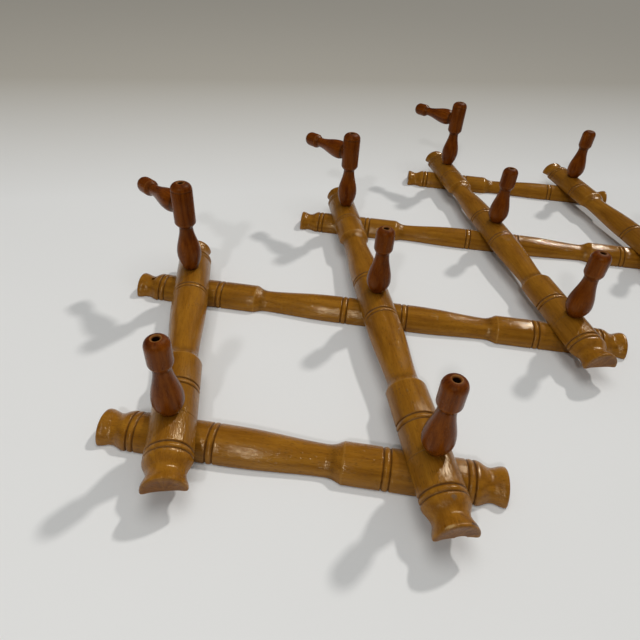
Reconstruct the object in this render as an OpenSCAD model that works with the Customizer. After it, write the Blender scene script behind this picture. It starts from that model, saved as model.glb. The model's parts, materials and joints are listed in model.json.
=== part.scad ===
// Folding peg rack: eight half-round turned slats in two layers, joined at ten
// peg pivots into an accordion lattice.  It is modelled lying on its back:
// X runs along the rack, Y up the wall, Z out of the wall towards the pegs.
// The origin is the axis of the upper left wall screw hole, on the wall plane.

/* [Lattice] */
// Distance between two neighbouring pivots on one slat
pivot_pitch = 200; // [160:1:260]
// Angle between the two slat directions as the rack stands open
open_angle = 105; // [40:1:140]
// Air between the crown of a lower slat and the flat back of an upper slat
layer_gap = 0.3; // [0.2:0.1:2]

/* [Slats] */
// Radius of the half-round slat at its knuckles
knuckle_r = 18.5; // [14:0.1:22.5]
// Radius that a collar is smaller than a knuckle
collar_drop = 0.4; // [0:0.1:0.8]
// Radius of the barrel where it leaves its collar
barrel_r = 18; // [14:0.1:20]
// Radius of the barrel where it meets the knuckle
waist_r = 14.1; // [11:0.1:18]
// Length of the knuckle of a long slat, from its pivot
long_knuckle = 71; // [50:0.5:75]
// Length of the knuckle of a short slat, from its pivot
short_knuckle = 65; // [50:0.5:75]
// Length of the sloping step from knuckle to barrel
step_length = 8; // [1:0.5:10]
// Distance from a pivot to the nearer ring groove
ring_near = 29; // [20:0.5:31]
// Distance from a pivot to the farther ring groove
ring_far = 34.5; // [33:0.5:40]
// Width of a ring groove
groove_w = 1.8; // [0.8:0.1:2]
// Depth of a ring groove
groove_d = 1.2; // [0.4:0.1:2]
// Distance from the last pivot to the end of a slat
end_reach = 59.5; // [54:0.5:80]
// Radius of the hollow in front of the flared end
cove_r = 14.4; // [10:0.1:16]
// Radius of the flared end
rim_r = 16.8; // [12:0.1:20]
// Rounding of the rim
rim_round = 1.5; // [0.5:0.1:3]

/* [Pegs] */
// Diameter of the tenon that pins two slats together
tenon_d = 8; // [5:0.5:12]
// Length of a plain peg above its seat
peg_length = 72; // [65:1:100]
// Length of a hat peg's post above its seat
post_length = 95; // [92:1:130]
// Radius of the foot of a peg
foot_r = 7.2; // [6:0.1:9]
// Radius of the bulb of a peg
bulb_r = 12.3; // [9:0.1:15]
// Height of a plain peg's bulb above its seat
bulb_height = 13; // [8:0.5:16]
// Height of a post's bulb above its seat
post_bulb_height = 18.5; // [12:0.5:22]
// Radius of the neck of a peg
neck_r = 6.8; // [5:0.1:8]
// Height of a plain peg's neck above its seat
neck_height = 45; // [35:0.5:48]
// Height of a post's neck above its seat
post_neck_height = 48.5; // [38:0.5:52]
// Height of the sloping shoulder above the neck
shoulder_height = 4.6; // [2:0.1:7]
// Radius of a plain peg's head
head_r = 9.4; // [8:0.1:13]
// Radius of a post's head
post_head_r = 10.6; // [9.5:0.1:14]
// Height of the dome on a head
dome_height = 7; // [3:0.1:9]
// Diameter of the lathe hole in a peg's tip
tip_hole_d = 5.6; // [3:0.1:7]
// Depth of the lathe hole
tip_hole_depth = 6; // [2:0.5:10]

/* [Hat pegs] */
// Distance of the hat peg's axis below the tip of its post
hat_drop = 25.5; // [20:0.5:27]
// Length of a hat peg outside its post
hat_length = 64.5; // [62:0.5:90]
// Turn of a hat peg from straight up the wall
hat_turn = 2; // [-30:1:30]
// Radius of the hat peg where it is coped to its post
hat_foot_r = 9; // [7:0.1:9.3]
// Radius of the hat peg's bulb
hat_bulb_r = 11.2; // [9:0.1:13]
// Distance from the post's face to the hat peg's bulb
hat_bulb_height = 8.5; // [5:0.5:12]
// Radius of the hat peg's neck
hat_neck_r = 5.8; // [5:0.1:7]
// Distance from the post's face to the hat peg's neck
hat_neck_height = 42.5; // [32:0.5:46]
// Radius of the hat peg's head
hat_head_r = 8.6; // [8:0.1:11]
// Diameter of the hat peg's tenon
hat_tenon_d = 8; // [5:0.5:10]
// Depth of the hat peg's tenon in its post, past the middle of the post
hat_tenon_past = 3; // [0:0.5:5]

/* [Fits] */
// Radial play of a tenon in the slat that turns on it
running_play = 0.05; // [0.02:0.01:0.1]
// Radial play of a tenon at the pivots that close the lattice
closing_play = 0.3; // [0.1:0.05:0.5]
// Depth of the seat for a peg's foot below the mouth of the widest bore
seat_depth = 0.23; // [0.1:0.01:1]
// Radial play of a peg's foot in its seat
seat_play = 0.6; // [0.3:0.1:1.5]
// Air under a peg's foot
foot_gap = 0.2; // [0.1:0.1:0.5]
// Distance of a tenon's end from the wall plane
tenon_recess = 0.5; // [0:0.1:2]

/* [Wall fixing] */
// Diameter of a wall screw hole
screw_d = 5; // [3:0.1:6]
// Distance from the last pivot to a wall screw hole
screw_reach = 45; // [40:0.5:50]

/* [Hidden] */
$fn = 96;
half_pitch_x = pivot_pitch * cos(open_angle / 2);
half_pitch_y = pivot_pitch * sin(open_angle / 2);
down = -open_angle / 2;
up = open_angle / 2;
lower_z = 0;
collar_r = knuckle_r - collar_drop;
upper_z = knuckle_r + layer_gap;
bore_mouth = sqrt(pow(collar_r, 2) - pow(tenon_d / 2 + closing_play, 2));
seat_floor = bore_mouth - seat_depth;
seat_z = upper_z + seat_floor;
curve_steps = 8;
tenon_r = tenon_d / 2;
cut = 1;
slat_colour = "#c58f45";
peg_colour = "#8a4f28";

// The upper left pivot and the screw hole beyond it fix the frame
screw_x = -2 * half_pitch_x - screw_reach * cos(up);
screw_y = half_pitch_y + screw_reach * sin(up);

// A pivot stands at a column (half pitches) and a row (-1, 0 or 1)
function pivot(column, row) =
    [column * half_pitch_x - screw_x, row * half_pitch_y - screw_y, 0];

A = pivot(-2, 1);
B = pivot(0, 1);
C = pivot(2, 1);
D = pivot(-3, 0);
E = pivot(-1, 0);
F = pivot(1, 0);
G = pivot(3, 0);
H = pivot(-2, -1);
I = pivot(0, -1);
J = pivot(2, -1);

// ---- Outlines: lists of [distance, radius] ----

function ease(a, b, u) = a + (b - a) * (1 - cos(180 * u)) / 2;
function shifted(points, x) = [for (p = points) [p[0] + x, p[1]]];
function flipped(points, x) =
    [for (i = [len(points) - 1:-1:0]) [x - points[i][0], points[i][1]]];

function v_groove(x, r) =
    [[x - groove_w / 2, r], [x, r - groove_d], [x + groove_w / 2, r]];
function ring_pair(r) = concat(v_groove(ring_near, r), v_groove(ring_far, r));

// Flared end, measured outwards from the last pivot
function flared_end(r) =
    let (start = ring_far + groove_w, low = (start + end_reach) / 2)
    concat(
        ring_pair(r),
        [for (i = [0:curve_steps])
            [start + (low - start) * i / curve_steps, ease(r, cove_r, i / curve_steps)]],
        [for (i = [1:curve_steps])
            [low + (end_reach - rim_round - low) * i / curve_steps,
             ease(cove_r, rim_r, i / curve_steps)]],
        [for (i = [1:4])
            [end_reach - rim_round + rim_round * sin(90 * i / 4),
             rim_r - rim_round + rim_round * cos(90 * i / 4)]]);

// Knuckle, measured inwards from its pivot
function knuckle(length) =
    concat(ring_pair(knuckle_r), [[length, knuckle_r], [length + step_length, waist_r]]);

// Collar and barrel, measured from the collar's pivot to the waist at x_end
function collar_and_barrel(x_end) =
    let (x_start = ring_far + groove_w)
    concat(
        ring_pair(collar_r),
        [for (i = [0:curve_steps - 1])
            [x_start + (x_end - x_start) * i / curve_steps,
             ease(barrel_r, waist_r, pow(i / curve_steps, 1.2))]]);

function knuckle_half(length) =
    concat(
        collar_and_barrel(pivot_pitch - length - step_length),
        flipped(knuckle(length), pivot_pitch),
        shifted(flared_end(knuckle_r), pivot_pitch));
function long_outline() =
    concat(flipped(knuckle_half(long_knuckle), 0), knuckle_half(long_knuckle));
function short_outline() =
    concat(flipped(flared_end(collar_r), 0), knuckle_half(short_knuckle));

// Peg from its foot to the rim of the lathe hole: [height, radius]
function peg_outline(foot, bulb, bulb_h, neck, neck_h, head, length) =
    concat(
        [for (i = [0:curve_steps])
            [bulb_h * i / curve_steps, foot + (bulb - foot) * sin(90 * i / curve_steps)]],
        [for (i = [1:curve_steps * 2])
            [bulb_h + (neck_h - bulb_h) * i / (curve_steps * 2),
             ease(bulb, neck, i / (curve_steps * 2))]],
        [[neck_h + shoulder_height, head], [length - dome_height, head]],
        [for (i = [1:curve_steps])
            [length - dome_height + dome_height * sin(90 * i / curve_steps),
             head / 3 + head * 2 / 3 * cos(90 * i / curve_steps)]]);

// ---- Shapes ----

module half_round(outline) {
    rotate([90, 0, 90])
        rotate_extrude(angle = 180)
            polygon(concat(
                [[0, outline[0][0]]],
                [for (p = outline) [p[1], p[0]]],
                [[0, outline[len(outline) - 1][0]]]));
}

module turned(outline) {
    rotate_extrude()
        polygon(concat(
            [[0, outline[0][0]]],
            [for (p = outline) [p[1], p[0]]],
            [[0, outline[len(outline) - 1][0]]]));
}

// Glued tenon hole of a lower slat
module tenon_hole(x) {
    translate([x, 0, -cut])
        cylinder(r = tenon_r, h = knuckle_r + 2 * cut);
}

// Bore and foot seat of an upper slat, as one stepped hole
module turning_hole(x, play) {
    bore_r = tenon_r + play;
    seat_r = foot_r + seat_play;
    top = knuckle_r + cut;
    translate([x, 0, 0])
        rotate_extrude()
            polygon([[0, -cut], [bore_r, -cut], [bore_r, seat_floor],
                [seat_r, seat_floor], [seat_r, top], [0, top]]);
}

module wall_screw_hole(x) {
    translate([x, 0, -cut])
        cylinder(d = screw_d, h = knuckle_r + 2 * cut);
}

// Carries a slat's own frame to its collar pivot, pointing at a heading
module laid(at, heading, z) {
    translate([at[0], at[1], z])
        rotate([0, 0, heading])
            children();
}

module lower_short(at, heading, screw = false) {
    color(slat_colour)
        laid(at, heading, lower_z)
            difference() {
                half_round(short_outline());
                tenon_hole(0);
                tenon_hole(pivot_pitch);
                if (screw) wall_screw_hole(-screw_reach);
            }
}

module lower_long(at, screw = false) {
    color(slat_colour)
        laid(at, down, lower_z)
            difference() {
                half_round(long_outline());
                for (side = [-1:1]) tenon_hole(side * pivot_pitch);
                if (screw) wall_screw_hole(-pivot_pitch - screw_reach);
            }
}

module upper_short(at, heading, collar_play, knuckle_play) {
    color(slat_colour)
        laid(at, heading, upper_z)
            difference() {
                half_round(short_outline());
                turning_hole(0, collar_play);
                turning_hole(pivot_pitch, knuckle_play);
            }
}

module upper_long(at, plays) {
    color(slat_colour)
        laid(at, up, upper_z)
            difference() {
                half_round(long_outline());
                for (side = [-1:1]) turning_hole(side * pivot_pitch, plays[side + 1]);
            }
}

module tenon() {
    translate([0, 0, tenon_recess - seat_z])
        cylinder(r = tenon_r, h = seat_z - tenon_recess + foot_gap);
}

module lathe_hole(length) {
    translate([0, 0, length - tip_hole_depth])
        cylinder(d = tip_hole_d, h = tip_hole_depth + cut);
}

module peg(at) {
    color(peg_colour)
        translate([at[0], at[1], seat_z]) {
            difference() {
                translate([0, 0, foot_gap])
                    turned(peg_outline(foot_r, bulb_r, bulb_height, neck_r, neck_height,
                        head_r, peg_length));
                lathe_hole(peg_length + foot_gap);
            }
            tenon();
        }
}

// Frame of a hat peg: the origin on its post's axis, Z along the hat peg
module along_hat(at) {
    translate([at[0], at[1], seat_z + foot_gap + post_length - hat_drop])
        rotate([-90, 0, hat_turn])
            children();
}

module post(at) {
    color(peg_colour) {
        difference() {
            translate([at[0], at[1], seat_z + foot_gap])
                turned(peg_outline(foot_r, bulb_r, post_bulb_height, neck_r, post_neck_height,
                    post_head_r, post_length));
            translate([at[0], at[1], seat_z + foot_gap]) lathe_hole(post_length);
            along_hat(at)
                translate([0, 0, -hat_tenon_past])
                    cylinder(d = hat_tenon_d, h = hat_tenon_past + post_head_r + cut);
        }
        translate([at[0], at[1], seat_z]) tenon();
    }
}

module hat_peg(at) {
    color(peg_colour)
        difference() {
            along_hat(at) {
                difference() {
                    translate([0, 0, post_head_r])
                        turned(concat(
                            [[-post_head_r, hat_foot_r]],
                            peg_outline(hat_foot_r, hat_bulb_r, hat_bulb_height, hat_neck_r,
                                hat_neck_height, hat_head_r, hat_length)));
                    // coped to the round of the post
                    rotate([90, 0, 0])
                        cylinder(r = post_head_r, h = 4 * post_head_r, center = true);
                }
                translate([0, 0, -hat_tenon_past])
                    cylinder(d = hat_tenon_d, h = hat_tenon_past + post_head_r + cut);
            }
            along_hat(at)
                translate([0, 0, post_head_r]) lathe_hole(hat_length);
        }
}

lower_short(D, down);  // lower_slat_1
lower_long(E, screw = true);  // lower_slat_2
lower_long(F);  // lower_slat_3
lower_short(G, down + 180, screw = true);  // lower_slat_4
upper_short(A, up + 180, running_play, running_play);  // upper_slat_1
upper_long(E, [closing_play, running_play, running_play]);  // upper_slat_2
upper_long(F, [running_play, closing_play, running_play]);  // upper_slat_3
upper_short(J, up, running_play, closing_play);  // upper_slat_4
peg(D);  // peg_middle_1
peg(E);  // peg_middle_2
peg(F);  // peg_middle_3
peg(G);  // peg_middle_4
peg(H);  // peg_bottom_1
peg(I);  // peg_bottom_2
peg(J);  // peg_bottom_3
post(A);  // post_top_1
post(B);  // post_top_2
post(C);  // post_top_3
hat_peg(A);  // hat_peg_1
hat_peg(B);  // hat_peg_2
hat_peg(C);  // hat_peg_3
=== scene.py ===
import json
import math

import bmesh
import bpy
from mathutils import Matrix, Vector


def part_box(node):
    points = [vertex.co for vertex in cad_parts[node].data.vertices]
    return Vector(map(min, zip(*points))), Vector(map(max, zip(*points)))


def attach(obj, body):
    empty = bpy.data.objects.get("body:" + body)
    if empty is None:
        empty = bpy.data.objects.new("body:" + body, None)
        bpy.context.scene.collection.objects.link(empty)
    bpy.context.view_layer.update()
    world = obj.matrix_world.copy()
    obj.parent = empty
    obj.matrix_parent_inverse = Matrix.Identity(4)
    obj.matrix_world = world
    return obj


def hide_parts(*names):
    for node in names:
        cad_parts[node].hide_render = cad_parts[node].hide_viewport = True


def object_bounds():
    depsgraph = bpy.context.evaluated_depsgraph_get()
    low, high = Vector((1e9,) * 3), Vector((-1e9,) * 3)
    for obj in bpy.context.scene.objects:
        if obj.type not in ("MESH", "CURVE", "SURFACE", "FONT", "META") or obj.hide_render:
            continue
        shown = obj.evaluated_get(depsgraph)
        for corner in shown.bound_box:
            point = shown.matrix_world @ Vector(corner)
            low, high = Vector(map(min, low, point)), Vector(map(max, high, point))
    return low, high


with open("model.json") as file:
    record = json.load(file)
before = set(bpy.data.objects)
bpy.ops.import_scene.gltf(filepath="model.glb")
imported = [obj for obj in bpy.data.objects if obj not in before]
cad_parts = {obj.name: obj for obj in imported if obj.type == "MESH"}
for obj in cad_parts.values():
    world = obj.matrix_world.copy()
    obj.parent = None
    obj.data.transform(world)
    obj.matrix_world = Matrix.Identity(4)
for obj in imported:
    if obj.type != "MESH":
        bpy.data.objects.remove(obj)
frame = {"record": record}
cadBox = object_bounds()
scene = bpy.context.scene
scene.view_settings.view_transform = "Standard"

mm = 0.001  # outlines are in millimetres and come to metres when a piece is put in place


# where things stand, read from the frame
def middle(nodeName):
    low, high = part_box(nodeName)
    return (low + high) / 2


def bodyOf(nodeName):
    return next(b for b, nodes in frame["record"]["behaviour"]["bodies"].items() if nodeName in nodes)


pivotA, pivotB, pivotC = (middle(f"post_top_{i}") for i in (1, 2, 3))
pivotD, pivotE, pivotF, pivotG = (middle(f"peg_middle_{i}") for i in (1, 2, 3, 4))
pivotH, pivotI, pivotJ = (middle(f"peg_bottom_{i}") for i in (1, 2, 3))
pitch = (pivotE - pivotA).to_2d().length / mm


# outlines: lists of (along, radius), or (along, radius, softness) where a corner is rounded
def softened(corners, steps=3):
    points = []
    for i, corner in enumerate(corners):
        here = Vector(corner[:2])
        soft = corner[2] if len(corner) > 2 else 0
        if not soft or i in (0, len(corners) - 1):
            points.append(tuple(here))
            continue
        ends = []
        for other in (corners[i - 1], corners[i + 1]):
            way = Vector(other[:2]) - here
            room = 0.49 if len(other) > 2 else 0.98
            ends.append(here + way.normalized() * min(soft, way.length * room))
        for k in range(steps + 1):
            t = k / steps
            points.append(tuple(ends[0] * (1 - t) ** 2 + here * 2 * t * (1 - t) + ends[1] * t ** 2))
    return points


def ease(a, b, u):
    return a + (b - a) * (1 - math.cos(math.pi * u)) / 2


def moved(corners, by):
    return [(c[0] + by, *c[1:]) for c in corners]


def turnedRound(corners, about=0):
    return [(about - c[0], *c[1:]) for c in reversed(corners)]


# bmesh helpers
def lathe(points, steps=64):
    bm = bmesh.new()
    verts = [bm.verts.new((x, r, 0)) for x, r in points]
    edges = [bm.edges.new(pair) for pair in zip(verts, verts[1:])]
    bmesh.ops.spin(bm, geom=verts + edges, cent=(0, 0, 0), axis=(1, 0, 0), angle=math.tau,
                   steps=steps, use_merge=True)
    bmesh.ops.remove_doubles(bm, verts=bm.verts, dist=0.002)
    bmesh.ops.recalc_face_normals(bm, faces=bm.faces)
    return bm


def toObject(bm, name):
    mesh = bpy.data.meshes.new(name)
    bm.to_mesh(mesh)
    bm.free()
    piece = bpy.data.objects.new(name, mesh)
    scene.collection.objects.link(piece)
    return piece


def carve(piece, cutters, operation="DIFFERENCE"):
    for cutter in cutters:
        step = piece.modifiers.new("carve", "BOOLEAN")
        step.object = cutter
        step.operation = operation
        step.solver = "EXACT"
    graph = bpy.context.evaluated_depsgraph_get()
    piece.data = bpy.data.meshes.new_from_object(piece.evaluated_get(graph))
    piece.modifiers.clear()
    for cutter in cutters:
        bpy.data.objects.remove(cutter)


upright = Matrix.Rotation(-math.pi / 2, 4, "Y")  # brings a piece's own length to +Z


# a spot is (along, half width, strength), and may end with the least and the greatest radius it reaches
def spotted(co, spots):
    radius = math.hypot(co.y, co.z)
    return max([max(0, 1 - abs(co.x - spot[0]) / spot[1]) * spot[2]
                for spot in spots if len(spot) < 4 or spot[3] < radius < spot[4]] + [0])


# gives every point its place in the timber, its masks of rubbed edges and end grain, and its hollow mask of
# painted shade (partly grime), then puts the piece in place
def finishPiece(piece, nodeName, place, material, hollowSpots, edgeSpots, trunk):
    mesh = piece.data
    bm = bmesh.new()
    bm.from_mesh(mesh)
    bmesh.ops.remove_doubles(bm, verts=bm.verts, dist=0.001)
    bmesh.ops.dissolve_degenerate(bm, edges=bm.edges, dist=0.0005)
    bm.normal_update()
    timber = bm.verts.layers.float_vector.new("timberPlace")
    around = bm.verts.layers.float_vector.new("around")
    hollow = bm.verts.layers.float.new("hollow")
    edge = bm.verts.layers.float.new("edgeWear")
    endGrain = bm.verts.layers.float.new("endGrain")
    for vert in bm.verts:
        vert[timber] = vert.co * mm + Vector(trunk)
        side = Vector((0, vert.co.y, vert.co.z)).normalized()
        vert[around] = Vector((vert.co.x * mm, side.y, side.z))
        # the hollow mask marks where painted shade, partly grime, darkens the colour
        vert[hollow] = spotted(vert.co, hollowSpots)
        vert[edge] = spotted(vert.co, edgeSpots)
        vert[endGrain] = max(0, (abs(vert.normal.x) - 0.35) / 0.65)
    for face in bm.faces:
        face.smooth = True
    bm.to_mesh(mesh)
    bm.free()
    mesh.transform(place @ Matrix.Scale(mm, 4))
    mesh.set_sharp_from_angle(angle=math.radians(38))
    mesh.materials.clear()
    mesh.materials.append(material)
    piece.name = nodeName.replace("_", " ").title().replace(" ", "")
    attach(piece, bodyOf(nodeName))
    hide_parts(nodeName)
    return piece


# node helpers: each takes plain values or sockets and gives the new node or its output
def addNode(tree, kind, inputs=None, **settings):
    made = tree.nodes.new("ShaderNode" + kind)
    for key, value in settings.items():
        setattr(made, key, value)
    for key, value in (inputs or {}).items():
        if isinstance(value, bpy.types.NodeSocket):
            tree.links.new(value, made.inputs[key])
        else:
            made.inputs[key].default_value = value
    return made


def calc(tree, operation, a, b=0.0, clamp=False):
    return addNode(tree, "Math", {0: a, 1: b}, operation=operation, use_clamp=clamp).outputs[0]


def stretched(tree, place, factors):
    return addNode(tree, "VectorMath", {0: place, 1: factors}, operation="MULTIPLY").outputs[0]


def noiseOf(tree, vector, detail=3.0, rough=0.5):
    made = addNode(tree, "TexNoise", {"Vector": vector, "Scale": 1.0, "Detail": detail, "Roughness": rough})
    return made.outputs["Fac"]


def ranged(tree, value, low, high, toLow=0.0, toHigh=1.0):
    return addNode(tree, "MapRange", {"Value": value, "From Min": low, "From Max": high,
                                      "To Min": toLow, "To Max": toHigh}).outputs[0]


def blended(tree, factor, a, b, how="MIX"):
    made = addNode(tree, "Mix", data_type="RGBA", blend_type=how)
    for socket, value in ((0, factor), (6, a), (7, b)):
        if isinstance(value, bpy.types.NodeSocket):
            tree.links.new(value, made.inputs[socket])
        else:
            made.inputs[socket].default_value = value
    return made.outputs[2]


def makeGroup(name, inputs, outputs):
    tree = bpy.data.node_groups.new(name, "ShaderNodeTree")
    kinds = {"c": "NodeSocketColor", "f": "NodeSocketFloat", "v": "NodeSocketVector"}
    for label, kind in inputs:
        tree.interface.new_socket(name=label, in_out="INPUT", socket_type=kinds[kind])
    for label, kind in outputs:
        tree.interface.new_socket(name=label, in_out="OUTPUT", socket_type=kinds[kind])
    return tree, tree.nodes.new("NodeGroupInput").outputs, tree.nodes.new("NodeGroupOutput").inputs


# how many times a metre of timber each pattern repeats, along and across, and how strongly it counts
grainPattern = {
    "broad": (9, 85, 85), "broadWeight": 1.1,
    "streak": (22, 420, 420), "streakWeight": 1.05,
    "fine": (60, 1300, 1300), "fineWeight": 0.75,
    "rings": 58.0, "ringStretch": (0.12, 1, 1), "ringWander": 3.2, "ringWeight": 0.25,
    "flecks": (220, 1200, 1200), "fleckShare": (0.35, 0.6), "fleckSize": (0.2, 0.38),
    "fleckPatches": (30, 60, 60), "pores": (110, 2200, 2200),
    "fineBump": 0.7, "poreBump": 0.5, "fleckBump": 0.35,
}


def makeGrainGroup():
    tree, given, out = makeGroup(
        "beechGrain",
        [("Place", "v"), ("Pale", "c"), ("Deep", "c"), ("Fleck", "c"), ("Contrast", "f"),
         ("Fleck Amount", "f")],
        [("Color", "c"), ("Height", "f")])
    place = given["Place"]
    pattern = grainPattern
    broad = noiseOf(tree, stretched(tree, place, pattern["broad"]), 3, 0.55)
    streak = noiseOf(tree, stretched(tree, place, pattern["streak"]), 5, 0.66)
    fine = noiseOf(tree, stretched(tree, place, pattern["fine"]), 3, 0.6)
    ringPlace = stretched(tree, place, pattern["ringStretch"])
    rings = addNode(tree, "TexWave", {"Vector": ringPlace, "Scale": pattern["rings"], "Detail": 2.0,
                                      "Distortion": pattern["ringWander"], "Detail Scale": 0.7},
                    wave_type="RINGS", rings_direction="X").outputs["Fac"]
    cells = addNode(tree, "TexVoronoi", {"Vector": stretched(tree, place, pattern["flecks"]), "Scale": 1.0,
                                         "Randomness": 1.0})
    chosen = addNode(tree, "SeparateColor", {"Color": cells.outputs["Color"]}).outputs["Red"]
    fleck = calc(tree, "MULTIPLY", ranged(tree, cells.outputs["Distance"], *pattern["fleckSize"], 1.0, 0.0),
                 ranged(tree, chosen, *pattern["fleckShare"]))
    patches = noiseOf(tree, stretched(tree, place, pattern["fleckPatches"]), 2)
    clustered = calc(tree, "MULTIPLY", fleck, ranged(tree, patches, 0.36, 0.58, 0.3, 1.0))
    swing = 0.0
    for noise, weight in ((broad, "broadWeight"), (streak, "streakWeight"), (fine, "fineWeight"),
                          (rings, "ringWeight")):
        part = calc(tree, "MULTIPLY", calc(tree, "SUBTRACT", noise, 0.5), pattern[weight])
        swing = calc(tree, "ADD", part, swing)
    depth = calc(tree, "ADD", calc(tree, "MULTIPLY", swing, given["Contrast"]), 0.5, clamp=True)
    ground = blended(tree, depth, given["Pale"], given["Deep"])
    fleckFactor = calc(tree, "MULTIPLY", clustered, given["Fleck Amount"])
    tree.links.new(blended(tree, fleckFactor, ground, given["Fleck"]), out["Color"])
    pores = noiseOf(tree, stretched(tree, place, pattern["pores"]), 2)
    height = calc(tree, "ADD", calc(tree, "MULTIPLY", fine, pattern["fineBump"]),
                  calc(tree, "MULTIPLY", pores, pattern["poreBump"]))
    sunk = calc(tree, "MULTIPLY", clustered, pattern["fleckBump"])
    tree.links.new(calc(tree, "SUBTRACT", height, sunk), out["Height"])
    return tree


# tones that darken the colour beneath them, the end tone being end grain and partly painted shade on end
# faces, and how much rougher each kind of place is
wearAndShade = {
    "patches": (45, 90, 90), "specks": (260, 700, 700), "spokes": (60, 9, 9),
    "clouded": (0.66, 0.58, 0.5, 1), "endGrainAndShadeTone": (0.62, 0.48, 0.3, 1),
    "endRoughness": 0.3, "hollowRoughness": 0.2,
}


# the wood's colour with its wear, and with painted shade, partly grime, in the hollows
def makeFinishAndShadeGroup():
    tree, given, out = makeGroup(
        "handledFinishAndShade",
        [("Place", "v"), ("Around", "v"), ("Color", "c"), ("Hollow", "f"), ("Edge", "f"),
         ("End Grain", "f"), ("Grime And Shade", "c"), ("Rubbed", "c"), ("Base Roughness", "f")],
        [("Color", "c"), ("Roughness", "f")])
    place = given["Place"]
    patchy = noiseOf(tree, stretched(tree, place, wearAndShade["patches"]), 4, 0.6)
    fine = noiseOf(tree, stretched(tree, place, wearAndShade["specks"]), 3, 0.6)
    spokes = noiseOf(tree, stretched(tree, given["Around"], wearAndShade["spokes"]), 3, 0.6)
    clouded = blended(tree, ranged(tree, patchy, 0.35, 0.7, 0.0, 0.55), given["Color"],
                      blended(tree, 1.0, given["Color"], wearAndShade["clouded"], "MULTIPLY"))
    # end faces are darker: real end grain, and partly painted shade where they turn from the light
    endFactor = calc(tree, "MULTIPLY", given["End Grain"], ranged(tree, spokes, 0.4, 0.6, 0.4, 1.3),
                     clamp=True)
    ended = blended(tree, endFactor, clouded, blended(tree, 1.0, clouded, wearAndShade["endGrainAndShadeTone"], "MULTIPLY"))
    # painted shade, partly grime: the hollow mask darkens grooves, holes, steps and joints with this tone
    grimeAndShadeFactor = calc(tree, "MULTIPLY", given["Hollow"], ranged(tree, fine, 0.2, 0.6, 0.75, 1.0),
                       clamp=True)
    grimedAndShaded = blended(tree, grimeAndShadeFactor, ended, given["Grime And Shade"])
    rub = calc(tree, "MULTIPLY", given["Edge"], ranged(tree, patchy, 0.35, 0.6, 0.3, 1.0), clamp=True)
    tree.links.new(blended(tree, rub, grimedAndShaded, given["Rubbed"]), out["Color"])
    rough = calc(tree, "ADD", given["Base Roughness"], ranged(tree, patchy, 0.3, 0.7, -0.04, 0.08))
    rough = calc(tree, "ADD", rough, ranged(tree, fine, 0.3, 0.7, -0.03, 0.06))
    rough = calc(tree, "ADD", rough, calc(tree, "MULTIPLY", given["End Grain"], wearAndShade["endRoughness"]))
    hollowRough = calc(tree, "MULTIPLY", given["Hollow"], wearAndShade["hollowRoughness"])
    rough = calc(tree, "ADD", rough, hollowRough, clamp=True)
    tree.links.new(rough, out["Roughness"])
    return tree


# a worn place round a point of one piece's timber, torn up by noise along the grain
def makeMarkGroup():
    tree, given, out = makeGroup(
        "wornMark",
        [("Place", "v"), ("Color", "c"), ("Centre", "v"), ("Spread", "v"), ("Raggedness", "f"),
         ("Strength", "f"), ("Mark", "c")],
        [("Color", "c")])
    away = addNode(tree, "VectorMath", {0: given["Place"], 1: given["Centre"]}, operation="SUBTRACT")
    shared = addNode(tree, "VectorMath", {0: away.outputs[0], 1: given["Spread"]}, operation="DIVIDE")
    distance = addNode(tree, "VectorMath", {0: shared.outputs[0]}, operation="LENGTH").outputs["Value"]
    torn = noiseOf(tree, stretched(tree, given["Place"], (350, 1100, 1100)), 4, 0.65)
    torn = calc(tree, "MULTIPLY", calc(tree, "SUBTRACT", torn, 0.5), given["Raggedness"])
    mask = ranged(tree, calc(tree, "ADD", distance, torn), 0.6, 1.0, 1.0, 0.0)
    factor = calc(tree, "MULTIPLY", mask, given["Strength"])
    tree.links.new(blended(tree, factor, given["Color"], given["Mark"]), out["Color"])
    return tree


grainGroup = makeGrainGroup()
finishAndShadeGroup = makeFinishAndShadeGroup()
markGroup = makeMarkGroup()


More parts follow.
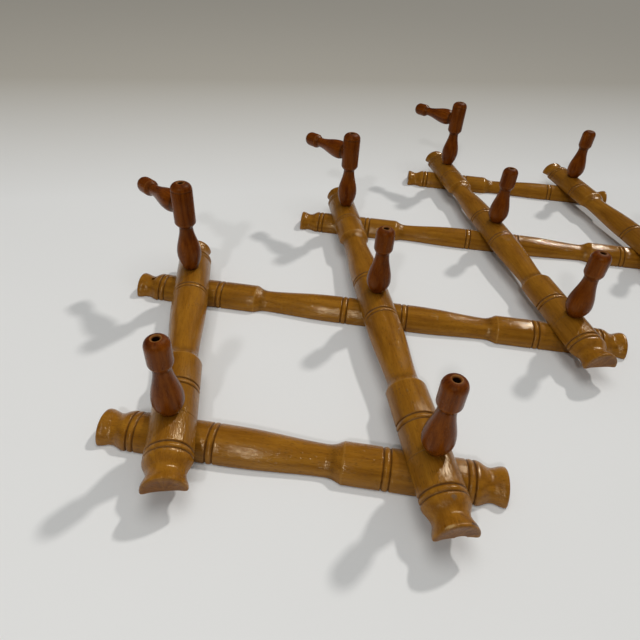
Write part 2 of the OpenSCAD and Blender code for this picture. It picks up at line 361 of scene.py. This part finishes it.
def makeWood(name, look):
    material = bpy.data.materials.new(name)
    material.use_nodes = True
    tree = material.node_tree
    shader = tree.nodes["Principled BSDF"]
    place = addNode(tree, "Attribute", attribute_name="timberPlace").outputs["Vector"]
    around = addNode(tree, "Attribute", attribute_name="around").outputs["Vector"]
    masks = {label: addNode(tree, "Attribute", attribute_name=source).outputs["Fac"]
             for label, source in (("Hollow", "hollow"), ("Edge", "edgeWear"), ("End Grain", "endGrain"))}
    tones = {label: (*look[label], 1) for label in ("Pale", "Deep", "Fleck", "Grime And Shade", "Rubbed")}
    grain = addNode(tree, "Group", node_tree=grainGroup)
    for label in ("Pale", "Deep", "Fleck"):
        grain.inputs[label].default_value = tones[label]
    for label in ("Contrast", "Fleck Amount"):
        grain.inputs[label].default_value = look[label]
    tree.links.new(place, grain.inputs["Place"])
    finishAndShade = addNode(tree, "Group", node_tree=finishAndShadeGroup)
    for label in ("Grime And Shade", "Rubbed"):
        finishAndShade.inputs[label].default_value = tones[label]
    finishAndShade.inputs["Base Roughness"].default_value = look["Roughness"]
    tree.links.new(place, finishAndShade.inputs["Place"])
    tree.links.new(around, finishAndShade.inputs["Around"])
    tree.links.new(grain.outputs["Color"], finishAndShade.inputs["Color"])
    for label, socket in masks.items():
        tree.links.new(socket, finishAndShade.inputs[label])
    colour = finishAndShade.outputs["Color"]
    for mark in look["marks"]:
        worn = addNode(tree, "Group", node_tree=markGroup)
        for label, key in (("Centre", "at"), ("Spread", "spread"), ("Raggedness", "ragged"),
                           ("Strength", "strength")):
            worn.inputs[label].default_value = mark[key]
        worn.inputs["Mark"].default_value = (*mark["colour"], 1)
        tree.links.new(place, worn.inputs["Place"])
        tree.links.new(colour, worn.inputs["Color"])
        colour = worn.outputs["Color"]
    bump = addNode(tree, "Bump", {"Height": grain.outputs["Height"], "Strength": look["Bump"],
                                  "Distance": 0.0004})
    tree.links.new(colour, shader.inputs["Base Color"])
    tree.links.new(finishAndShade.outputs["Roughness"], shader.inputs["Roughness"])
    tree.links.new(bump.outputs["Normal"], shader.inputs["Normal"])
    shader.inputs["Specular IOR Level"].default_value = look["Gloss"]
    shader.inputs["Specular Tint"].default_value = (*look["Sheen"], 1)
    return material


# where one slat's own timber starts, so that no two slats share their grain
slatTrunks = {name: (0.9 * i, 0.011 + 0.003 * i, 0.043 + 0.004 * (i % 3)) for i, name in enumerate((
    "lower_slat_1", "lower_slat_2", "lower_slat_3", "lower_slat_4",
    "upper_slat_1", "upper_slat_2", "upper_slat_3", "upper_slat_4"))}


# a mark on the round of a slat: along it in millimetres, and degrees round it from the crown
def onSlat(name, along, degrees, radius, spread, ragged, strength, colour):
    turn = math.radians(degrees)
    at = Vector((along, -radius * math.sin(turn), radius * math.cos(turn))) * mm + Vector(slatTrunks[name])
    return {"at": at, "spread": Vector(spread) * mm, "ragged": ragged, "strength": strength,
            "colour": colour}


paleScuff, greySmudge, darkDent = (0.5, 0.33, 0.14), (0.12, 0.1, 0.075), (0.05, 0.016, 0.003)
slatMarks = [
    onSlat("upper_slat_2", -239, 4, 17, (2.0, 2.4, 3), 1.8, 0.55, greySmudge),
    onSlat("upper_slat_2", -257, 40, 16, (1.6, 5, 5), 1.8, 0.8, darkDent),
    onSlat("upper_slat_2", -258, -25, 16, (1.2, 4, 4), 1.6, 0.7, paleScuff),
    onSlat("lower_slat_1", 150, -8, 17, (2.2, 0.9, 2), 1.4, 0.8, paleScuff),
    onSlat("lower_slat_1", 158, 14, 17, (1.3, 0.8, 2), 1.4, 0.7, paleScuff),
    onSlat("lower_slat_1", 171, -20, 17, (0.8, 1.6, 2), 1.2, 0.7, darkDent),
    onSlat("lower_slat_2", 62, 22, 16, (7, 0.5, 2), 0.9, 0.75, paleScuff),
    onSlat("lower_slat_3", 40, 10, 16, (4, 0.5, 2), 1.0, 0.6, darkDent),
    onSlat("upper_slat_1", 236, 20, 16.5, (2.4, 1.2, 2), 1.5, 0.6, paleScuff),
    onSlat("upper_slat_3", -60, -14, 16, (5, 0.6, 2), 1.0, 0.6, paleScuff),
]

slatLook = {
    "Pale": (0.38, 0.165, 0.015), "Deep": (0.2, 0.072, 0.004), "Fleck": (0.06, 0.017, 0.0015),
    "Grime And Shade": (0.042, 0.014, 0.002), "Rubbed": (0.5, 0.27, 0.06), "Sheen": (1.0, 0.82, 0.55),
    "Contrast": 1.0, "Fleck Amount": 0.5, "Roughness": 0.11, "Bump": 0.8, "Gloss": 0.5,
    "marks": slatMarks,
}
pegLook = {
    "Pale": (0.215, 0.054, 0.003), "Deep": (0.09, 0.0155, 0.001), "Fleck": (0.03, 0.006, 0.001),
    "Grime And Shade": (0.012, 0.003, 0.0007), "Rubbed": (0.34, 0.15, 0.04), "Sheen": (1.0, 0.72, 0.4),
    "Contrast": 1.2, "Fleck Amount": 0.5, "Roughness": 0.19, "Bump": 0.5, "Gloss": 0.22,
    "marks": [],
}
slatBeech = makeWood("slatBeech", slatLook)
pegBeech = makeWood("pegBeech", pegLook)
print("materials made")


# the slats: half-round, turned about their pivots, all sizes in millimetres
slat = {
    "knuckleRadius": 18.5, "collarRadius": 18.1, "barrelRadius": 18, "waistRadius": 14.1,
    "longKnuckle": 71, "shortKnuckle": 65, "step": 8,
    "ringNear": 29, "ringFar": 34.5, "ringWidth": 1.8, "ringDepth": 1.2,
    "endReach": 59.5, "coveRadius": 14.4, "rimRadius": 16.8, "rimRound": 1.6,
    "dishRadius": 13.9, "dishDepth": 1.1,
    "scribeWidth": 0.5, "scribeDepth": 0.22,
    "arris": 0.45, "arrisTurn": 4, "turnSteps": 44,
    "tenonHole": 4.05, "turningHole": 4.15, "seatRadius": 7.8, "seatDepth": 1.15,
    "screwHole": 2.5, "screwReach": 45, "cutPast": 2,
    "chipDeep": 2.6, "chipWide": 4.6, "chipHigh": 1.9, "chipSide": -3.5,
}


def ringPair(radius):
    half = slat["ringWidth"] / 2
    near, far = slat["ringNear"], slat["ringFar"]
    low = radius - slat["ringDepth"]
    return [(near - half, radius, 0.5), (near, low, 0.15), (near + half, radius - 0.25, 0.5),
            ((near + far) / 2, radius + 0.25, 1.4),
            (far - half, radius - 0.25, 0.5), (far, low, 0.15), (far + half, radius, 0.5)]


def flaredEnd(radius):
    start = slat["ringFar"] + slat["ringWidth"]
    end, cove, rim = slat["endReach"], slat["coveRadius"], slat["rimRadius"]
    low = (start + end) / 2
    lip = end - slat["rimRound"]
    dish, steps = slat["dishRadius"], 10
    return (ringPair(radius)
            + [(start + (low - start) * k / steps, ease(radius, cove, k / steps)) for k in range(steps + 1)]
            + [(low + (lip - low) * k / steps, ease(cove, rim, k / steps)) for k in range(1, steps + 1)]
            + [(end, rim, slat["rimRound"]), (end, dish, 0.7)]
            + [(end - slat["dishDepth"] * (1 - (1 - k / 8) ** 4), dish * (1 - k / 8)) for k in range(1, 9)])


def knuckle(length):
    return ringPair(slat["knuckleRadius"]) + [
        (length, slat["knuckleRadius"], 1.2), (length + slat["step"], slat["waistRadius"], 6.0)]


def barrel(end):
    start = slat["ringFar"] + slat["ringWidth"]
    top, waist, steps = slat["barrelRadius"], slat["waistRadius"], 16
    return ringPair(slat["collarRadius"]) + [
        (start + (end - start) * k / steps, ease(top, waist, (k / steps) ** 1.2))
        for k in range(steps)]


def scribe(radius):
    half = slat["scribeWidth"] / 2
    return [(-half, radius), (0, radius - slat["scribeDepth"]), (half, radius)]


def knuckleHalf(length):
    return (barrel(pitch - length - slat["step"])
            + turnedRound(knuckle(length), pitch)
            + moved(scribe(slat["knuckleRadius"]), pitch)
            + moved(flaredEnd(slat["knuckleRadius"]), pitch))


def slatOutline(form):
    if form == "long":
        half = knuckleHalf(slat["longKnuckle"])
        return turnedRound(half) + scribe(slat["collarRadius"]) + half
    return (turnedRound(flaredEnd(slat["collarRadius"])) + scribe(slat["collarRadius"])
            + knuckleHalf(slat["shortKnuckle"]))


def halfRound(points):
    bm = bmesh.new()
    verts = [bm.verts.new((x, r, 0)) for x, r in points]
    last = verts + [bm.edges.new(pair) for pair in zip(verts, verts[1:])]
    edgeTurn = slat["arrisTurn"]
    for degrees, steps in ((edgeTurn, 2), (180 - 2 * edgeTurn, slat["turnSteps"]), (edgeTurn, 2)):
        last = bmesh.ops.spin(bm, geom=last, cent=(0, 0, 0), axis=(1, 0, 0),
                              angle=math.radians(degrees), steps=steps, use_merge=False)["geom_last"]
    bmesh.ops.remove_doubles(bm, verts=bm.verts, dist=0.002)
    for vert in bm.verts:  # the long edges of the flat back are eased
        radius = math.hypot(vert.co.y, vert.co.z)
        lift = math.degrees(math.atan2(vert.co.z, abs(vert.co.y))) if radius > 0.1 else 90
        share = 1 if lift < edgeTurn / 4 else 0.27 if lift < edgeTurn * 3 / 4 else 0
        vert.co.y -= math.copysign(slat["arris"] * share * min(1, radius / 6), vert.co.y)
    bmesh.ops.holes_fill(bm, edges=[e for e in bm.edges if e.is_boundary], sides=0)
    bmesh.ops.recalc_face_normals(bm, faces=bm.faces)
    return bm


# a round cutter through the slat at x, and past it on both sides
def slatCutter(x, hole, seatRadius=None, steps=48):
    seat, top = slat["knuckleRadius"] - slat["seatDepth"], slat["knuckleRadius"] + slat["cutPast"]
    outline = [(-slat["cutPast"], 0), (-slat["cutPast"], hole)]
    if seatRadius:
        outline += [(seat, hole), (seat, seatRadius)]
    outline += [(top, seatRadius or hole), (top, 0)]
    bm = lathe(outline, steps)
    bmesh.ops.transform(bm, matrix=Matrix.Translation((x, 0, 0)) @ upright, verts=bm.verts)
    return toObject(bm, "cutter")


# a ragged lump that takes the chip out of the lower edge of an end
def chipCutter(x):
    bm = bmesh.new()
    bmesh.ops.create_icosphere(bm, subdivisions=3, radius=1)
    for vert in bm.verts:
        lump = math.sin(9 * vert.co.x + 4 * vert.co.y) * math.cos(7 * vert.co.y + 5 * vert.co.z)
        vert.co *= 1 + 0.16 * lump
    size = Vector((slat["chipDeep"], slat["chipWide"], slat["chipHigh"]))
    place = Matrix.Translation((x, slat["chipSide"], 0)) @ Matrix.Diagonal((*size, 1))
    bmesh.ops.transform(bm, matrix=place, verts=bm.verts)
    return toObject(bm, "cutter")


# hollow spots of painted shade, partly grime, on the scribe lines and ring grooves
def ringSpots(pivots):
    spots = []
    for x in pivots:
        spots.append((x, 0.3, 0.9))
        for side in (-1, 1):
            for ring in (slat["ringNear"], slat["ringFar"]):
                spots.append((x + side * ring, slat["ringWidth"] * 0.42, 0.85))
                spots.append((x + side * ring, slat["ringWidth"] * 1.1, 0.3))
    return spots


def makeSlat(name, at, towards, form, trunk):
    upper = name.startswith("upper")
    heading = math.atan2(towards.y - at.y, towards.x - at.x)
    pivots = (-pitch, 0, pitch) if form == "long" else (0, pitch)
    piece = toObject(halfRound(softened(slatOutline(form))), name)
    if upper:
        cutters = [slatCutter(x, slat["turningHole"], slat["seatRadius"]) for x in pivots]
    else:
        cutters = [slatCutter(x, slat["tenonHole"]) for x in pivots]
    if name in ("lower_slat_2", "lower_slat_4"):
        cutters.append(slatCutter(pivots[0] - slat["screwReach"], slat["screwHole"], steps=32))
    if name == "upper_slat_2":
        cutters.append(chipCutter(pivots[0] - slat["endReach"]))
    carve(piece, cutters)
    length = slat["longKnuckle"] if form == "long" else slat["shortKnuckle"]
    steps = [pitch - length] + ([length - pitch] if form == "long" else [])
    ends = [pitch + slat["endReach"], -slat["endReach"] - (pitch if form == "long" else 0)]
    hollows = ringSpots(pivots)
    # painted shade, partly grime, below each step
    hollows += [(x - math.copysign(slat["step"], x), 3.5, 0.45) for x in steps]
    edges = [(x, 1.2, 0.4) for x in steps] + [(x, 1.6, 0.15, slat["dishRadius"] + 0.3, 99) for x in ends]
    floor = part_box(name)[0].z
    place = Matrix.Translation((at.x, at.y, floor)) @ Matrix.Rotation(heading, 4, "Z")
    finishPiece(piece, name, place, slatBeech, hollows, edges, trunk)


slatPlan = {
    "lower_slat_1": (pivotD, pivotH, "short"),
    "lower_slat_2": (pivotE, pivotI, "long"),
    "lower_slat_3": (pivotF, pivotJ, "long"),
    "lower_slat_4": (pivotG, pivotC, "short"),
    "upper_slat_1": (pivotA, pivotD, "short"),
    "upper_slat_2": (pivotE, pivotB, "long"),
    "upper_slat_3": (pivotF, pivotC, "long"),
    "upper_slat_4": (pivotJ, pivotG, "short"),
}
for name, plan in slatPlan.items():
    makeSlat(name, *plan, slatTrunks[name])
print("slats made")


# the pegs, and the posts and hat pegs, which are pegs with other sizes
peg = {
    "foot": 7.2, "bulb": 12.3, "bulbAt": 13, "neck": 6.8, "neckAt": 45, "shoulder": 4.6,
    "head": 9.4, "length": 72, "dome": 7, "line": 0,
    "tipRim": 3.6, "tipHole": 2.6, "tipChamfer": 1.0, "tipDepth": 6, "tipPoint": 1.2,
    "tenon": 4, "tenonChamfer": 0.7, "lineHalf": 0.4,
}
post = {**peg, "bulbAt": 18.5, "neckAt": 48.5, "head": 10.6, "length": 95, "line": 0.3}
hatPeg = {
    **peg, "foot": 9, "bulb": 11.2, "bulbAt": 8.5, "neck": 5.8, "neckAt": 42.5, "head": 8.6,
    "length": 64.5, "drop": 25.5, "turn": 2, "tenonPast": 3, "socketPlay": 0.05, "copeGap": 0.02,
}


def pegBody(size):
    rise, fall, top = 10, 22, 10
    bulbAt, neckAt, length, head = size["bulbAt"], size["neckAt"], size["length"], size["head"]
    domeFoot = length - size["dome"]
    foot, swell = size["foot"], size["bulb"] - size["foot"]
    body = [(bulbAt * k / rise, foot + swell * math.sin(math.pi / 2 * k / rise))
            for k in range(1, rise + 1)]
    body += [(bulbAt + (neckAt - bulbAt) * k / fall, ease(size["bulb"], size["neck"], k / fall))
             for k in range(1, fall)]
    body += [(neckAt, size["neck"], 0.8), (neckAt + size["shoulder"], head, 1.2)]
    if size["line"]:
        half = size["lineHalf"]
        body += [(domeFoot - half, head), (domeFoot, head - size["line"]), (domeFoot + half, head - 0.02)]
    else:
        body += [(domeFoot, head)]
    rim = size["tipRim"]
    body += [(domeFoot + size["dome"] * math.sin(math.pi / 2 * k / top),
              rim + (head - rim) * math.cos(math.pi / 2 * k / top)) for k in range(1, top + 1)]
    hole = size["tipHole"]
    return body + [(length - size["tipChamfer"], hole), (length - size["tipDepth"], hole),
                   (length - size["tipDepth"] - size["tipPoint"], 0)]


def tenonPart(size, reach):
    radius, chamfer = size["tenon"], size["tenonChamfer"]
    return [(-reach, 0), (-reach, radius - chamfer), (-reach + chamfer, radius), (0, radius),
            (0, size["foot"], 0.4)]


def pegSpots(size):
    length = size["length"]
    hole = size["tipHole"] + 0.1
    # painted shade, partly grime, inside the tip hole, round the foot where it meets the slat, and in the
    # neck crease
    hollows = [(length - size["tipDepth"], 7.5, 2.2, -1, hole), (0, 2.2, 0.8), (size["neckAt"], 1.6, 0.5)]
    edges = [(length, 1.1, 0.9, size["tipHole"] + 0.2, size["tipRim"] + 0.1),
             (size["neckAt"] + size["shoulder"], 0.9, 0.3)]
    if size["line"]:
        hollows.append((length - size["dome"], 0.5, 0.8))
    return hollows, edges


def plug(radius, start, end, matrix):
    bm = lathe([(start, 0), (start, radius), (end, radius), (end, 0)], 48)
    bmesh.ops.transform(bm, matrix=matrix, verts=bm.verts)
    return toObject(bm, "cutter")


# where a peg's foot stands, and how far its tenon reaches below the foot
def standing(nodeName, size):
    low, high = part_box(nodeName)
    at = middle(nodeName)
    reach = (high.z - low.z) / mm - size["length"]
    return Matrix.Translation((at.x, at.y, high.z - size["length"] * mm)), reach


def makePeg(name, size, trunk, hatPlace=None):
    place, reach = standing(name, size)
    place = place @ upright
    piece = toObject(lathe(softened(tenonPart(size, reach) + pegBody(size))), name)
    if hatPlace is not None:
        inMillimetres = Matrix.Scale(1 / mm, 4) @ place.inverted() @ hatPlace @ Matrix.Scale(mm, 4)
        socket = size["tenon"] + hatPeg["socketPlay"]
        carve(piece, [plug(socket, -hatPeg["tenonPast"] - 0.1, size["head"] + 5, inMillimetres)])
    hollows, edges = pegSpots(size)
    finishPiece(piece, name, place, pegBeech, hollows, edges, trunk)


def makeHatPeg(name, hatPlace, trunk):
    root = post["head"]
    body = [(1, 0), (1, hatPeg["foot"]), (root, hatPeg["foot"])] + moved(pegBody(hatPeg), root)
    piece = toObject(lathe(softened(body)), name)
    # the root is coped to the post's round
    carve(piece, [plug(root + hatPeg["copeGap"], -30, 30, upright)])
    carve(piece, [plug(hatPeg["tenon"], -hatPeg["tenonPast"], root + 4, Matrix())], "UNION")
    hollows, edges = pegSpots(hatPeg)
    finishPiece(piece, name, hatPlace, pegBeech, moved(hollows, root), moved(edges, root),
                trunk)


for i in (1, 2, 3, 4):
    makePeg(f"peg_middle_{i}", peg, (0.31 * i, 0.006, 0.05 + 0.004 * i))
for i in (1, 2, 3):
    makePeg(f"peg_bottom_{i}", peg, (0.27 * i + 2, 0.009, 0.047 + 0.003 * i))
for i in (1, 2, 3):
    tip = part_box(f"post_top_{i}")[1].z
    at = middle(f"post_top_{i}")
    turn = Matrix.Rotation(math.radians(90 + hatPeg["turn"]), 4, "Z")
    hatPlace = Matrix.Translation((at.x, at.y, tip - hatPeg["drop"] * mm)) @ turn
    makePeg(f"post_top_{i}", post, (0.23 * i + 4, 0.008, 0.052 + 0.003 * i), hatPlace)
    makeHatPeg(f"hat_peg_{i}", hatPlace, (0.19 * i + 6, 0.012, 0.045 + 0.003 * i))
print("pegs made")


# floor, light and camera
studio = {
    "floorSize": 14, "floorDrop": 0.0004, "floorColour": (0.8, 0.8, 0.79), "floorFarShade": (0.5, 0.47, 0.41),
    "fadeWay": (0.55, 0.83, 0), "fadeFrom": 0.25, "fadeTo": 0.95, "clouds": (3, 3, 3), "cloudDepth": 0.96,
    "skyColour": (0.9, 0.92, 0.92), "skyStrength": 0.24, "skyInGloss": 0.04, "aim": (0.1, -0.2, 0),
}


def makeFloor():
    bm = bmesh.new()
    bmesh.ops.create_grid(bm, x_segments=8, y_segments=8, size=studio["floorSize"] / 2)
    bmesh.ops.translate(bm, verts=bm.verts, vec=(0, 0, cadBox[0][2] - studio["floorDrop"]))
    floor = toObject(bm, "Floor")
    material = bpy.data.materials.new("paleFloor")
    material.use_nodes = True
    tree = material.node_tree
    shader = tree.nodes["Principled BSDF"]
    place = addNode(tree, "TexCoord").outputs["Object"]
    cloud = noiseOf(tree, stretched(tree, place, studio["clouds"]), 3)
    low = tuple(c * studio["cloudDepth"] for c in studio["floorColour"])
    near = blended(tree, cloud, (*low, 1), (*studio["floorColour"], 1))
    across = addNode(tree, "VectorMath", {0: place, 1: studio["fadeWay"]},
                     operation="DOT_PRODUCT").outputs["Value"]
    # painted shade: the floor grows darker away from the front
    fade = ranged(tree, across, studio["fadeFrom"], studio["fadeTo"])
    tree.links.new(blended(tree, fade, near, (*studio["floorFarShade"], 1)), shader.inputs["Base Color"])
    shader.inputs["Roughness"].default_value = 0.9
    floor.data.materials.append(material)


def makeLight(name, spec):
    light = bpy.data.lights.new(name, spec["kind"])
    light.energy = spec["power"]
    light.color = spec["colour"]
    if spec["kind"] == "AREA":
        light.shape = "DISK"
        light.size = spec["size"]
    else:
        light.angle = math.radians(spec["size"])
    lamp = bpy.data.objects.new(name, light)
    azimuth, elevation = math.radians(spec["azimuth"]), math.radians(spec["elevation"])
    towards = Vector((math.sin(azimuth) * math.cos(elevation), math.cos(azimuth) * math.cos(elevation),
                      math.sin(elevation)))
    lamp.location = Vector(studio["aim"]) + towards * spec["distance"]
    lamp.rotation_euler = towards.to_track_quat("Z", "Y").to_euler()
    lamp.visible_glossy = spec["mirrored"]
    scene.collection.objects.link(lamp)


# size is the disk's diameter in metres, or the sun's angle in degrees
lights = {
    "keyLight": {"kind": "SUN", "azimuth": 86, "elevation": 46, "distance": 3, "size": 3.5, "power": 1.2,
                 "mirrored": True, "colour": (1.0, 0.98, 0.95)},
    "topLight": {"kind": "AREA", "azimuth": 0, "elevation": 88, "distance": 1.7, "size": 1.2, "power": 9,
                 "mirrored": False, "colour": (1.0, 0.99, 0.97)},
    "fillLight": {"kind": "AREA", "azimuth": -118, "elevation": 40, "distance": 2.2, "size": 0.14,
                  "power": 8, "mirrored": True, "colour": (0.98, 0.99, 1.0)},
}
view = {"position": (-0.1989, -0.4413, 0.3296), "azimuth": 46.94, "elevation": -38.68, "roll": 3.907,
        "lens": 27.69}


def makeCamera():
    lens = bpy.data.cameras.new("Camera")
    lens.sensor_width = 36
    lens.lens = view["lens"]
    lens.clip_start = 0.01
    camera = bpy.data.objects.new("Camera", lens)
    place = (Matrix.Translation(view["position"])
             @ Matrix.Rotation(-math.radians(view["azimuth"]), 4, "Z")
             @ Matrix.Rotation(math.radians(90 + view["elevation"]), 4, "X")
             @ Matrix.Rotation(math.radians(view["roll"]), 4, "Z"))
    camera.matrix_world = place
    scene.collection.objects.link(camera)
    scene.camera = camera


makeFloor()
for name, spec in lights.items():
    makeLight(name, spec)
world = bpy.data.worlds.new("studioSky")
world.use_nodes = True
scene.world = world
sky = world.node_tree.nodes["Background"]
sky.inputs["Color"].default_value = (*studio["skyColour"], 1)
glossy = addNode(world.node_tree, "LightPath").outputs["Is Glossy Ray"]
strength = ranged(world.node_tree, glossy, 0, 1, studio["skyStrength"], studio["skyInGloss"])
world.node_tree.links.new(strength, sky.inputs["Strength"])
makeCamera()
print("floor, light and camera set")
